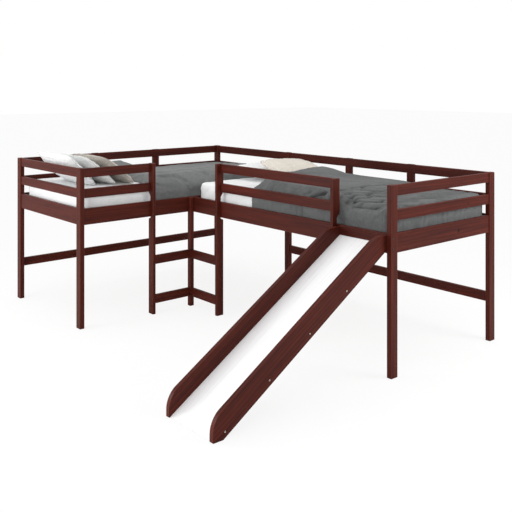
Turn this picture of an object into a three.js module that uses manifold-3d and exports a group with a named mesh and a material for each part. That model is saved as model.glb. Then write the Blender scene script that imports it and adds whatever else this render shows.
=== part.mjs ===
// An L-shaped low loft bed for two, with its bedding. Two beds on posts meet at a right angle:
// the corner bed is a full four-post bed, and the slide bed is bolted to its front. A ladder stands in
// the inner corner, and a slide runs down from the slide bed's long side.
// Millimetres. X runs along the corner bed, Y runs along the slide bed towards the corner, Z is up.
import * as THREE from "three";
import { mergeVertices } from "three/addons/utils/BufferGeometryUtils.js";
import Module from "manifold-3d";

const wasm = await Module();
wasm.setup();

// Clearances
const jointGap = 0.25; // between two timber pieces that butt or lap
const slideGap = 0.3; // between the pieces of the sloping slide
const softGap = 0.3; // between a soft piece and what it lies on or beside

// Mattresses, and the room round them
const mattressLength = 1905;
const mattressWidth = 985;
const mattressHeight = 170;
const mattressEdgeRadius = 34;
const mattressCornerRadius = 70;
const sideRoom = 13; // to the bed rail on each side
const footRoom = 24.5; // to the end rails
const headRoom = 22; // from the slide bed's mattress to the corner bed's front rail

// Posts and rails
const postWidth = 58; // in the plane of an end
const postDepth = 35;
const postHeight = 1118;
const sideRailThickness = 25;
const endRailThickness = 22;
const sideRailSetIn = 3; // from the posts' outer faces to the long rails' outer faces
const railWidth = 64; // of the top, middle and low rails and the rungs
const topRailDrop = 2; // from the posts' tops to the top rails
const guardHeight = 283; // from the bed rails' tops to the posts' tops
const middleRailLift = 73.5; // from the bed rails' tops to the middle rails
const bedRailWidth = 114;
const stretcherDrop = 470; // from the bed rails' lower edges to the stretchers'

// Back uprights, half-lapped to the rails
const uprightWidth = 60;
const uprightFromOuterEnd = 683; // the first one's middle
const uprightFromInnerEnd = 716; // the second one's middle, from the corner bed's inner end
const uprightRise = 20; // from the bed rail's lower edge to the upright's, behind it
const lapShare = 0.5; // of the rail's thickness

// Guard and ladder posts: boards on edge that stand half outside the bed rail, notched round it
const guardPostThickness = 25;
const guardNotchUpperSlope = 38; // height of the notch's slanted upper end
const guardNotchLowerSlope = 12;
const guardNotchDrop = 6; // how far the notch runs below the bed rail
const cornerLadderPostSide = 35.75;
const guardPostStandOff = cornerLadderPostSide + jointGap; // in front of the bed rail
const rungLength = 312;
const rungThickness = 22;
const lowRungBottom = 80;
const highRungDrop = 464; // from the bed rails' tops to the high rungs' lower edges

// Slide
const slideOuterWidth = 395; // over both side boards
const slideFromPost = 2; // from the slide bed's front post
const slideSideThickness = 26;
const slideSideWidth = 124; // square to the slope
const slideAngle = THREE.MathUtils.degToRad(31.6);
const slideEndRise = 16; // from the bed rail's lower edge to the side boards', where they meet
const slideHeadRadius = 160;
const slideHeadDrop = 11; // from the bed rail's top to the side boards' tops
const slideNoseRadius = 125;
const slideToeRadius = 5;
const slideNoseReach = 63; // from the heel on the floor to the nose
const slideBoardThickness = 12;
const slideBoardToe = 54; // from the heel to the board's lower end
const slideBoardFloorGap = 0.5;
const slideGrooveDepth = 8;
const underframeDepth = 20;
const underframeRunnerWidth = 40;
const underframeBattenWidth = 60;
const underframeBattenCount = 6;
const underframeStart = 30; // along the slope from the heel

// Slats on their cleats
const cleatWidth = 22;
const cleatHeight = 30;
const cleatRise = 4; // over the bed rail's lower edge
const slatWidth = 64;
const slatThickness = 18;
const slatCount = 14;
const slatEndMargin = 40; // from the mattress's end to the first slat
const slatSideGap = 2; // from a slat's end to the rail
const strapWidth = 30;
const strapStandOut = 1; // over and into the slats
const strapInset = 160;

// Duvets
const duvetTuck = 45; // from the bed rails' tops down to the tucked lower edge
const duvetSideDrop = 12; // how far the drop stands off the mattress's sides, within the side room
const duvetFootDrop = 15;
const duvetEdgeRadius = 62;
const duvetInnerCornerRadius = 52; // at the foot, round the mattress's corners
const duvetHeadThickness = 26;
const duvetHeadFall = 110; // over which it thins towards the head edge
const cornerDuvet = {
  loft: 66, // over the mattress
  bareHead: [553, 600], // from the mattress's head to the head edge, on the front side and on the back side
  roll: { height: 26, middle: 165, spread: 120 }, // puffed along the front edge
  hump: { height: 128, fromHead: 640, fromFront: 860, lengthSpread: 245, widthSpread: 200 },
  backFall: 44,
};
const slideDuvet = {
  loft: 84,
  bareHead: [661, 610], // on the slide's side and on the back side
  tongue: { reach: 215, middle: 285, spread: 95 }, // where the head edge runs up the bed
  // Piled up in front of the pillows, and steepest on the back side
  hump: { height: 104, fromHead: 690, fromSlide: 660, lengthSpread: 155, slideSpread: 380, backSpread: 140 },
  footFall: 66,
  backFall: 34,
};

// Pillows: width is the long side, depth is the sloping side
const pillowPull = 14; // how far a pillow's sides draw in between its corners
const pillowFullness = 0.38;
const pillowSquareness = 6; // of its outline: 2 is an ellipse, and more is squarer
const leaningPillow = { width: 590, depth: 345, thickness: 86 };
// Their lower edges' distances from the mattress's head, and their middles' from its front side
const whiteLeaning = {
  headDistance: 238,
  sideDistance: 520,
  tilt: THREE.MathUtils.degToRad(46),
};
const paleLeaning = {
  headDistance: 383,
  sideDistance: 470,
  tilt: THREE.MathUtils.degToRad(40.5),
};
const beigeLeaning = {
  headDistance: 524,
  sideDistance: 435,
  tilt: THREE.MathUtils.degToRad(39),
};
// The plump pillows: the middle's distance from the mattress's head, and the pillow's from its back side
const whitePillow = {
  width: 610,
  depth: 310,
  thickness: 104,
  headDistance: 165,
  sideDistance: 40,
  tilt: THREE.MathUtils.degToRad(8),
  roll: THREE.MathUtils.degToRad(5),
};
// The cream one lies in front of the white one and rests over its edge
const creamPillow = {
  width: 560,
  depth: 340,
  thickness: 112,
  headDistance: whitePillow.headDistance + 230,
  sideDistance: 30,
  tilt: THREE.MathUtils.degToRad(21),
  roll: THREE.MathUtils.degToRad(4),
};

// Places worked out from the sizes above. The slide bed's foot and the corner bed's outer end lie at zero.
const endRailInset = (postDepth - endRailThickness) / 2;
const mattressFoot = endRailInset + endRailThickness + footRoom; // from either bed's outer end
const cornerFrontFace = mattressFoot + mattressLength + headRoom - sideRailSetIn;
const bedWidth = mattressWidth + 2 * (sideRoom + sideRailThickness + sideRailSetIn);
const cornerBedLength = mattressLength + 2 * mattressFoot;
const slideFrontFace = cornerBedLength - bedWidth;
const cornerBackFace = cornerFrontFace + bedWidth;
const topRailTop = postHeight - topRailDrop;
const bedRailTop = postHeight - guardHeight;
const bedRailBottom = bedRailTop - bedRailWidth;
const middleRailBottom = bedRailTop + middleRailLift;
const stretcherBottom = bedRailBottom - stretcherDrop;
const uprightPlaces = [uprightFromOuterEnd, cornerBedLength - uprightFromInnerEnd];
const uprightBottom = bedRailBottom + uprightRise;
const rungBottoms = { low: lowRungBottom, high: bedRailTop - highRungDrop };
const cornerRailOuter = cornerFrontFace + sideRailSetIn;
const cornerRailInner = cornerRailOuter + sideRailThickness;
const cornerBackRailOuter = cornerBackFace - sideRailSetIn;
const cornerBackRailInner = cornerBackRailOuter - sideRailThickness;
const slideRailOuter = slideFrontFace + sideRailSetIn;
const slideRailInner = slideRailOuter + sideRailThickness;
const slideBackRailOuter = cornerBedLength - sideRailSetIn;
const slideBackRailInner = slideBackRailOuter - sideRailThickness;
const cleatTop = bedRailBottom + cleatRise + cleatHeight;
const slatTop = cleatTop + jointGap + slatThickness;
const mattressBottom = slatTop + strapStandOut + softGap;
const mattressTop = mattressBottom + mattressHeight;
const duvetHem = bedRailTop - duvetTuck;
const slideSideEndBottom = bedRailBottom + slideEndRise;
const sideBoardEnd = slideRailOuter - slideGap;
const slideHeel = sideBoardEnd - slideSideEndBottom / Math.tan(slideAngle);
const slideNose = slideHeel - slideNoseReach;

// Finishes, each given to its pieces as a material of their own
const finishes = {
  stainedPine: { color: 0x5a2b27, roughness: 0.42, metalness: 0 },
  slatPine: { color: 0xc9a878, roughness: 0.7, metalness: 0 },
  whiteLaminate: { color: 0xf2f2f1, roughness: 0.3, metalness: 0 },
  whiteCotton: { color: 0xe9ebeb, roughness: 0.9, metalness: 0 },
  paleCotton: { color: 0xd4d6d5, roughness: 0.9, metalness: 0 },
  beigeCotton: { color: 0xcbc6bf, roughness: 0.9, metalness: 0 },
  creamCotton: { color: 0xe8e4dc, roughness: 0.9, metalness: 0 },
  greyCotton: { color: 0x6d7072, roughness: 0.92, metalness: 0 },
};

// Adds a named piece to a group.
function addPiece(group, name, finish, geometry, place = [0, 0, 0]) {
  const piece = new THREE.Mesh(geometry, new THREE.MeshStandardMaterial(finishes[finish]));
  piece.name = name;
  piece.position.set(...place);
  group.add(piece);
  return piece;
}

// Adds a plain squared board that fills the given spans.
function addBoard(group, name, finish, spanX, spanY, spanZ) {
  const size = [spanX, spanY, spanZ].map(([low, high]) => high - low);
  const middle = [spanX, spanY, spanZ].map(([low, high]) => (low + high) / 2);
  return addPiece(group, name, finish, new THREE.BoxGeometry(...size), middle);
}

// A span shortened by the joint gap at both ends.
const between = (low, high) => [low + jointGap, high - jointGap];
const from = (low, size) => [low, low + size];

// The directions that an outline's two axes and its extrusion take.
const outlinePlanes = {
  plan: [[1, 0, 0], [0, 1, 0], [0, 0, 1]],
  sideAlongX: [[1, 0, 0], [0, 0, 1], [0, -1, 0]],
  sideAlongY: [[0, 1, 0], [0, 0, 1], [1, 0, 0]],
};

// Extrudes a closed outline of [x, y, corner radius] points.
function extrudeOutline(corners, depth, plane) {
  const shape = new THREE.Shape();
  const points = corners.map(([x, y]) => new THREE.Vector2(x, y));
  corners.forEach(([, , radius = 0], i) => {
    const corner = points[i];
    const before = points[(i + points.length - 1) % points.length].clone().sub(corner).normalize();
    const after = points[(i + 1) % points.length].clone().sub(corner).normalize();
    const half = Math.acos(THREE.MathUtils.clamp(before.dot(after), -1, 1)) / 2;
    const reach = radius / Math.tan(half);
    const start = corner.clone().addScaledVector(before, reach);
    const end = corner.clone().addScaledVector(after, reach);
    if (i === 0) shape.moveTo(start.x, start.y);
    else shape.lineTo(start.x, start.y);
    if (radius > 0) {
      const inwards = before.clone().add(after).normalize();
      const centre = corner.clone().addScaledVector(inwards, radius / Math.sin(half));
      const turn = before.cross(after) > 0;
      const angle = (point) => Math.atan2(point.y - centre.y, point.x - centre.x);
      shape.absarc(centre.x, centre.y, radius, angle(start), angle(end), turn);
    }
  });
  shape.closePath();
  const geometry = new THREE.ExtrudeGeometry(shape, { depth, bevelEnabled: false, curveSegments: 10 });
  const axes = outlinePlanes[plane].map((axis) => new THREE.Vector3(...axis));
  return geometry.applyMatrix4(new THREE.Matrix4().makeBasis(...axes));
}

// Turns a closed geometry into a solid for cutting and joining, and back.
function solidOf(geometry) {
  const bare = geometry.index ? geometry.toNonIndexed() : geometry.clone();
  bare.deleteAttribute("normal");
  bare.deleteAttribute("uv");
  const merged = mergeVertices(bare, 1e-4);
  return new wasm.Manifold(
    new wasm.Mesh({
      numProp: 3,
      vertProperties: new Float32Array(merged.attributes.position.array),
      triVerts: new Uint32Array(merged.index.array),
    }),
  );
}

function geometryOf(solid) {
  const mesh = solid.getMesh();
  const geometry = new THREE.BufferGeometry();
  geometry.setAttribute("position", new THREE.BufferAttribute(new Float32Array(mesh.vertProperties), 3));
  geometry.setIndex(new THREE.BufferAttribute(new Uint32Array(mesh.triVerts), 1));
  geometry.computeVertexNormals();
  return geometry;
}

const blockSolid = (spanX, spanY, spanZ) => {
  const size = [spanX, spanY, spanZ].map(([low, high]) => high - low);
  const middle = [spanX, spanY, spanZ].map(([low, high]) => (low + high) / 2);
  return solidOf(new THREE.BoxGeometry(...size).translate(...middle));
};

// A surface of rows of points, closed by what the caller adds.
function surfaceBuilder() {
  const positions = [];
  const faces = [];
  return {
    point(x, y, z) {
      positions.push(x, y, z);
      return positions.length / 3 - 1;
    },
    triangle(a, b, c) {
      faces.push(a, b, c);
    },
    quad(a, b, c, d) {
      faces.push(a, b, c, a, c, d);
    },
    // Closes the space between two lines of points that may differ in number
    strip(first, second) {
      let [i, j] = [0, 0];
      while (i < first.length - 1 || j < second.length - 1) {
        const step = i / (first.length - 1) <= j / (second.length - 1) && i < first.length - 1;
        faces.push(first[i], second[j], step ? first[i + 1] : second[j + 1]);
        if (step) i++;
        else j++;
      }
    },
    geometry() {
      const geometry = new THREE.BufferGeometry();
      geometry.setAttribute("position", new THREE.Float32BufferAttribute(positions, 3));
      geometry.setIndex(faces);
      geometry.computeVertexNormals();
      return geometry;
    },
  };
}

// Corner bed frame: four posts, two ends, a back and a front bed rail
function addCornerBedFrame(group) {
  const left = [0, postDepth];
  const right = [cornerBedLength - postDepth, cornerBedLength];
  const front = from(cornerFrontFace, postWidth);
  const back = [cornerBackFace - postWidth, cornerBackFace];
  const full = [0, postHeight];
  addBoard(group, "corner_bed_outer_front_post", "stainedPine", left, front, full);
  addBoard(group, "corner_bed_outer_back_post", "stainedPine", left, back, full);
  addBoard(group, "corner_bed_inner_back_post", "stainedPine", right, back, full);
  addBoard(group, "shared_corner_post", "stainedPine", right, front, full);

  const endSpan = between(front[1], back[0]);
  for (const [end, face] of [["outer_end", left[0]], ["inner_end", right[0]]])
    addEndRails(group, `corner_bed_${end}`, "x", from(face + endRailInset, endRailThickness), endSpan);

  addBackRails(group, "corner_bed", "x", [left[1], right[0]], cornerBackRailInner);
  addBoard(
    group, "corner_bed_front_bed_rail", "stainedPine",
    between(left[1], right[0]), [cornerRailOuter, cornerRailInner], [bedRailBottom, bedRailTop],
  );
}

// Slide bed frame: two posts, one end, a back and a front bed rail, carried by the corner bed at its head
function addSlideBedFrame(group) {
  const front = from(slideFrontFace, postWidth);
  const back = [cornerBedLength - postWidth, cornerBedLength];
  const near = [0, postDepth];
  addBoard(group, "slide_bed_front_post", "stainedPine", front, near, [0, postHeight]);
  addBoard(group, "slide_bed_back_post", "stainedPine", back, near, [0, postHeight]);
  addEndRails(group, "slide_bed_end", "y", from(endRailInset, endRailThickness), between(front[1], back[0]));
  addBackRails(group, "slide_bed", "y", [near[1], cornerFrontFace], slideBackRailInner);
  addBoard(
    group, "slide_bed_front_bed_rail", "stainedPine",
    [slideRailOuter, slideRailInner], between(near[1], cornerRailOuter), [bedRailBottom, bedRailTop],
  );
}

// The three rails of an end. Thickness lies along the named axis.
function addEndRails(group, prefix, thicknessAxis, thicknessSpan, lengthSpan) {
  const levels = {
    top_rail: [topRailTop - railWidth, topRailTop],
    middle_rail: from(middleRailBottom, railWidth),
    bed_rail: [bedRailBottom, bedRailTop],
  };
  for (const [level, height] of Object.entries(levels)) {
    const spans = thicknessAxis === "x" ? [thicknessSpan, lengthSpan] : [lengthSpan, thicknessSpan];
    addBoard(group, `${prefix}_${level}`, "stainedPine", ...spans, height);
  }
}

// The rails of a back, the two uprights half-lapped into them from outside, and the low stretcher.
// Across is measured from the rails' inner face to their outer face.
function addBackRails(group, prefix, lengthAxis, [start, end], innerFace) {
  const alongX = lengthAxis === "x";
  const [low, high] = between(start, end);
  const lapDepth = sideRailThickness * (1 - lapShare);
  const railOutline = [[low, sideRailThickness], [low, 0], [high, 0], [high, sideRailThickness]];
  for (const middle of [...uprightPlaces].reverse()) {
    const half = uprightWidth / 2 + jointGap;
    railOutline.push([middle + half, sideRailThickness], [middle + half, lapDepth]);
    railOutline.push([middle - half, lapDepth], [middle - half, sideRailThickness]);
  }
  const turned = railOutline.map(([along, across]) => (alongX ? [along, across] : [across, along]));
  const levels = [
    ["bed", bedRailBottom, bedRailTop],
    ["middle", middleRailBottom, middleRailBottom + railWidth],
    ["top", topRailTop - railWidth, topRailTop],
  ];
  for (const [level, bottom, top] of levels)
    addPiece(
      group, `${prefix}_back_${level}_rail`, "stainedPine", extrudeOutline(turned, top - bottom, "plan"),
      alongX ? [0, innerFace, bottom] : [innerFace, 0, bottom],
    );
  const thickness = from(innerFace, sideRailThickness);
  const stretcher = alongX ? [[low, high], thickness] : [thickness, [low, high]];
  addBoard(group, `${prefix}_back_stretcher`, "stainedPine", ...stretcher, from(stretcherBottom, railWidth));

  // An upright seen from its side: full thickness between the rails, its inner face cut away behind them
  const lapFace = lapDepth + jointGap;
  const outer = [[sideRailThickness, postHeight], [sideRailThickness, uprightBottom]];
  const side = [...outer, [lapFace, uprightBottom]];
  for (const [level, bottom, top] of levels) {
    if (level !== "bed") side.push([0, bottom - jointGap], [lapFace, bottom - jointGap]);
    side.push([lapFace, top + jointGap], [0, top + jointGap]);
  }
  side.push([0, postHeight]);
  uprightPlaces.forEach((middle, i) => {
    const begin = middle - uprightWidth / 2;
    addPiece(
      group, `${prefix}_back_upright_${i + 1}`, "stainedPine",
      extrudeOutline(side, uprightWidth, alongX ? "sideAlongY" : "sideAlongX"),
      alongX ? [begin, innerFace, 0] : [innerFace, begin + uprightWidth, 0],
    );
  });
}

// A guard post seen from its side, X outwards to inwards: notched from under the middle guard rail to
// below the bed rail, so that its inner face lies flush with the rail's.
function guardPostOutline(bottom) {
  const depth = guardPostStandOff + sideRailThickness;
  const notch = guardPostStandOff - jointGap;
  const notchTop = middleRailBottom - jointGap;
  const notchBottom = bedRailBottom - guardNotchDrop;
  const outline = [[0, bottom]];
  if (bottom < notchBottom - guardNotchLowerSlope)
    outline.push([depth, bottom], [depth, notchBottom - guardNotchLowerSlope], [notch, notchBottom]);
  else outline.push([notch, bottom]);
  outline.push([notch, notchTop - guardNotchUpperSlope], [depth, notchTop]);
  outline.push([depth, postHeight], [0, postHeight]);
  return outline;
}

// Ladder in the inner corner: two guard posts, a square post against both bed rails, and two rungs each way
function addLadder(group) {
  const squareX = [slideRailOuter - jointGap - cornerLadderPostSide, slideRailOuter - jointGap];
  const squareY = [cornerRailOuter - jointGap - cornerLadderPostSide, cornerRailOuter - jointGap];
  addBoard(group, "ladder_inner_corner_post", "stainedPine", squareX, squareY, [0, bedRailTop]);

  const cornerPostX = squareX[0] - rungLength - guardPostThickness;
  const slidePostY = squareY[0] - rungLength - guardPostThickness;
  const cornerOuter = cornerRailOuter - guardPostStandOff;
  const slideOuter = slideRailOuter - guardPostStandOff;
  addPiece(
    group, "ladder_corner_bed_post", "stainedPine",
    extrudeOutline(guardPostOutline(0), guardPostThickness, "sideAlongY"), [cornerPostX, cornerOuter, 0],
  );
  addPiece(
    group, "ladder_slide_bed_post", "stainedPine",
    extrudeOutline(guardPostOutline(0), guardPostThickness, "sideAlongX"),
    [slideOuter, slidePostY + guardPostThickness, 0],
  );
  for (const [level, bottom] of Object.entries(rungBottoms)) {
    const height = from(bottom, railWidth);
    addBoard(
      group, `ladder_corner_bed_${level}_rung`, "stainedPine",
      between(cornerPostX + guardPostThickness, squareX[0]), from(cornerOuter, rungThickness), height,
    );
    addBoard(
      group, `ladder_slide_bed_${level}_rung`, "stainedPine",
      from(slideOuter, rungThickness), between(slidePostY + guardPostThickness, squareY[0]), height,
    );
  }
  return { cornerPostX, slidePostY };
}

// Guard rails: on the corner bed from its outer post to the ladder, on the slide bed from there to the slide
function addGuards(group, { cornerPostX, slidePostY }) {
  const guardPostY = slideFromPost + postDepth + slideOuterWidth + slideGap;
  addPiece(
    group, "slide_guard_post", "stainedPine",
    extrudeOutline(guardPostOutline(bedRailBottom), guardPostThickness, "sideAlongX"),
    [slideRailOuter - guardPostStandOff, guardPostY + guardPostThickness, 0],
  );
  const levels = {
    guard_top_rail: [topRailTop - railWidth, topRailTop],
    guard_middle_rail: from(middleRailBottom, railWidth),
  };
  for (const [level, height] of Object.entries(levels)) {
    addBoard(
      group, `corner_bed_${level}`, "stainedPine",
      between(postDepth, cornerPostX), [cornerRailOuter, cornerRailInner], height,
    );
    addBoard(
      group, `slide_bed_${level}`, "stainedPine",
      [slideRailOuter, slideRailInner], between(guardPostY + guardPostThickness, slidePostY), height,
    );
  }
}

// Slide: two side boards grooved for the white board, and an underframe that carries the board
function addSlide(group) {
  const slope = Math.tan(slideAngle);
  const upright = (square) => square / Math.cos(slideAngle);
  const lowerEdge = (x) => (x - slideHeel) * slope;
  const topEdge = (x) => lowerEdge(x) + upright(slideSideWidth);
  const headTop = bedRailTop - slideHeadDrop;
  const headStart = slideHeel + (headTop - upright(slideSideWidth)) / slope;
  const sideOutline = [
    [slideHeel, 0],
    [sideBoardEnd, slideSideEndBottom],
    [sideBoardEnd, headTop],
    [headStart, headTop, slideHeadRadius],
    [slideNose, topEdge(slideNose), slideNoseRadius],
    [slideNose, 0, slideToeRadius],
  ];
  const boardTop = underframeDepth + slideBoardThickness;
  const near = postDepth + slideFromPost;
  // Each side board's place, and its inner face measured from its far face
  const sides = [
    ["slide_right_side", near + slideSideThickness, 0],
    ["slide_left_side", near + slideOuterWidth, -slideSideThickness],
  ];
  // The groove is cut a slide gap wider than the board, past both ends of the side board.
  const grooveLow = underframeDepth - slideGap;
  const grooveHigh = boardTop + slideGap;
  const past = slideOuterWidth;
  const grooveOutline = [
    [slideNose - past, lowerEdge(slideNose - past) + upright(grooveLow)],
    [sideBoardEnd + past, lowerEdge(sideBoardEnd + past) + upright(grooveLow)],
    [sideBoardEnd + past, lowerEdge(sideBoardEnd + past) + upright(grooveHigh)],
    [slideNose - past, lowerEdge(slideNose - past) + upright(grooveHigh)],
  ];
  for (const [name, farFace, innerFace] of sides) {
    const board = solidOf(extrudeOutline(sideOutline, slideSideThickness, "sideAlongX"));
    const groove = extrudeOutline(grooveOutline, 2 * slideGrooveDepth, "sideAlongX");
    groove.translate(0, innerFace + slideGrooveDepth, 0);
    addPiece(group, name, "stainedPine", geometryOf(board.subtract(solidOf(groove))), [0, farFace, 0]);
  }

  const toe = slideHeel - slideBoardToe;
  const under = (x) => lowerEdge(x) + upright(underframeDepth);
  const surface = (x) => lowerEdge(x) + upright(boardTop);
  const floorEnd = slideHeel + (slideBoardFloorGap - upright(underframeDepth)) / slope;
  const boardOutline = [
    [toe, slideBoardFloorGap],
    [floorEnd, slideBoardFloorGap],
    [sideBoardEnd, under(sideBoardEnd)],
    [sideBoardEnd, surface(sideBoardEnd)],
    [toe, surface(toe)],
  ];
  const intoGroove = slideGrooveDepth - slideGap;
  const boardWidth = slideOuterWidth - 2 * (slideSideThickness - intoGroove);
  const boardNear = near + slideSideThickness - intoGroove;
  addPiece(
    group, "slide_board", "whiteLaminate",
    extrudeOutline(boardOutline, boardWidth, "sideAlongX"), [0, boardNear + boardWidth, 0],
  );

  // The underframe lies along the slope: two runners against the side boards, joined by cross battens.
  const slopeLength = slideSideEndBottom / Math.sin(slideAngle) - jointGap;
  const clearWidth = slideOuterWidth - 2 * (slideSideThickness + slideGap);
  const depthSpan = [0, underframeDepth - 2 * slideGap];
  const length = [underframeStart, slopeLength];
  let frame = blockSolid(length, [0, underframeRunnerWidth], depthSpan);
  frame = frame.add(blockSolid(length, [clearWidth - underframeRunnerWidth, clearWidth], depthSpan));
  const battenSpan = [underframeRunnerWidth / 2, clearWidth - underframeRunnerWidth / 2];
  for (let i = 0; i < underframeBattenCount; i++) {
    const share = i / (underframeBattenCount - 1);
    const at = THREE.MathUtils.lerp(length[0], length[1] - underframeBattenWidth, share);
    frame = frame.add(blockSolid(from(at, underframeBattenWidth), battenSpan, depthSpan));
  }
  const turned = new THREE.Group();
  turned.position.set(slideHeel, near + slideSideThickness + slideGap, 0);
  turned.rotation.y = -slideAngle;
  addPiece(turned, "slide_underframe", "stainedPine", geometryOf(frame), [0, 0, slideGap]);
  group.add(turned);
}

// Slat cleats along both bed rails of each bed, and a roll of slats joined by two webbing straps
function addSlats(group) {
  const height = [cleatTop - cleatHeight, cleatTop];
  const cornerLong = between(postDepth, cornerBedLength - postDepth);
  const slideFrontLong = between(postDepth, cornerRailOuter);
  const slideBackLong = between(postDepth, cornerFrontFace);
  const cleats = {
    corner_bed_front_cleat: [cornerLong, from(cornerRailInner + jointGap, cleatWidth)],
    corner_bed_back_cleat: [cornerLong, from(cornerBackRailInner - jointGap - cleatWidth, cleatWidth)],
    slide_bed_front_cleat: [from(slideRailInner + jointGap, cleatWidth), slideFrontLong],
    slide_bed_back_cleat: [from(slideBackRailInner - jointGap - cleatWidth, cleatWidth), slideBackLong],
  };
  for (const [name, spans] of Object.entries(cleats)) addBoard(group, name, "stainedPine", ...spans, height);

  const slatLength = mattressWidth + 2 * (sideRoom - slatSideGap);
  const run = mattressLength - 2 * slatEndMargin;
  const pitch = (run - slatWidth) / (slatCount - 1);
  const strapHeight = [slatThickness - strapStandOut, slatThickness + strapStandOut];
  let roll = blockSolid([0, run], from(strapInset, strapWidth), strapHeight);
  roll = roll.add(blockSolid([0, run], from(slatLength - strapInset - strapWidth, strapWidth), strapHeight));
  for (let i = 0; i < slatCount; i++)
    roll = roll.add(blockSolid(from(i * pitch, slatWidth), [0, slatLength], [0, slatThickness]));
  const bottom = cleatTop + jointGap;
  const margin = postDepth - endRailInset + footRoom + slatEndMargin;
  addPiece(
    group, "corner_bed_slats", "slatPine", geometryOf(roll), [margin, cornerRailInner + slatSideGap, bottom],
  );
  const turned = new THREE.Matrix4().makeBasis(
    new THREE.Vector3(0, 1, 0), new THREE.Vector3(-1, 0, 0), new THREE.Vector3(0, 0, 1),
  );
  addPiece(
    group, "slide_bed_slats", "slatPine",
    geometryOf(roll).applyMatrix4(turned), [slideBackRailInner - slatSideGap, margin, bottom],
  );
}

// A mattress: a block with rounded corners and edges, about its own middle
function mattressGeometry() {
  const builder = surfaceBuilder();
  const cornerSteps = 4;
  // The outline drawn in by an inset, at a height
  const ring = (inset, z) => {
    const ids = [];
    const radius = mattressCornerRadius - inset;
    for (const [cornerX, cornerY, quarter] of [[1, 1, 0], [-1, 1, 1], [-1, -1, 2], [1, -1, 3]])
      for (let step = 0; step <= cornerSteps; step++) {
        const angle = ((quarter + step / cornerSteps) * Math.PI) / 2;
        const x = cornerX * (mattressLength / 2 - mattressCornerRadius) + radius * Math.cos(angle);
        const y = cornerY * (mattressWidth / 2 - mattressCornerRadius) + radius * Math.sin(angle);
        ids.push(builder.point(x, y, z));
      }
    return ids;
  };
  // The edges are quarter rounds, drawn with three steps at the bottom and at the top.
  const rings = [];
  for (const turn of [0, 1, 2]) {
    const angle = (turn * Math.PI) / 4;
    rings.push([mattressEdgeRadius * (1 - Math.sin(angle)), mattressEdgeRadius * (1 - Math.cos(angle))]);
  }
  const upper = rings.map(([inset, z]) => [inset, mattressHeight - z]).reverse();
  const made = [...rings, ...upper].map(([inset, z]) => ring(inset, z));
  for (let i = 1; i < made.length; i++)
    made[i].forEach((id, k) => {
      const next = (k + 1) % made[i].length;
      builder.quad(made[i - 1][k], made[i - 1][next], made[i][next], id);
    });
  const count = made[0].length;
  const base = builder.point(0, 0, 0);
  const crest = builder.point(0, 0, mattressHeight);
  for (let k = 0; k < count; k++) {
    const next = (k + 1) % count;
    builder.triangle(made[0][next], made[0][k], base);
    builder.triangle(made.at(-1)[k], made.at(-1)[next], crest);
  }
  return builder.geometry();
}

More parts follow.
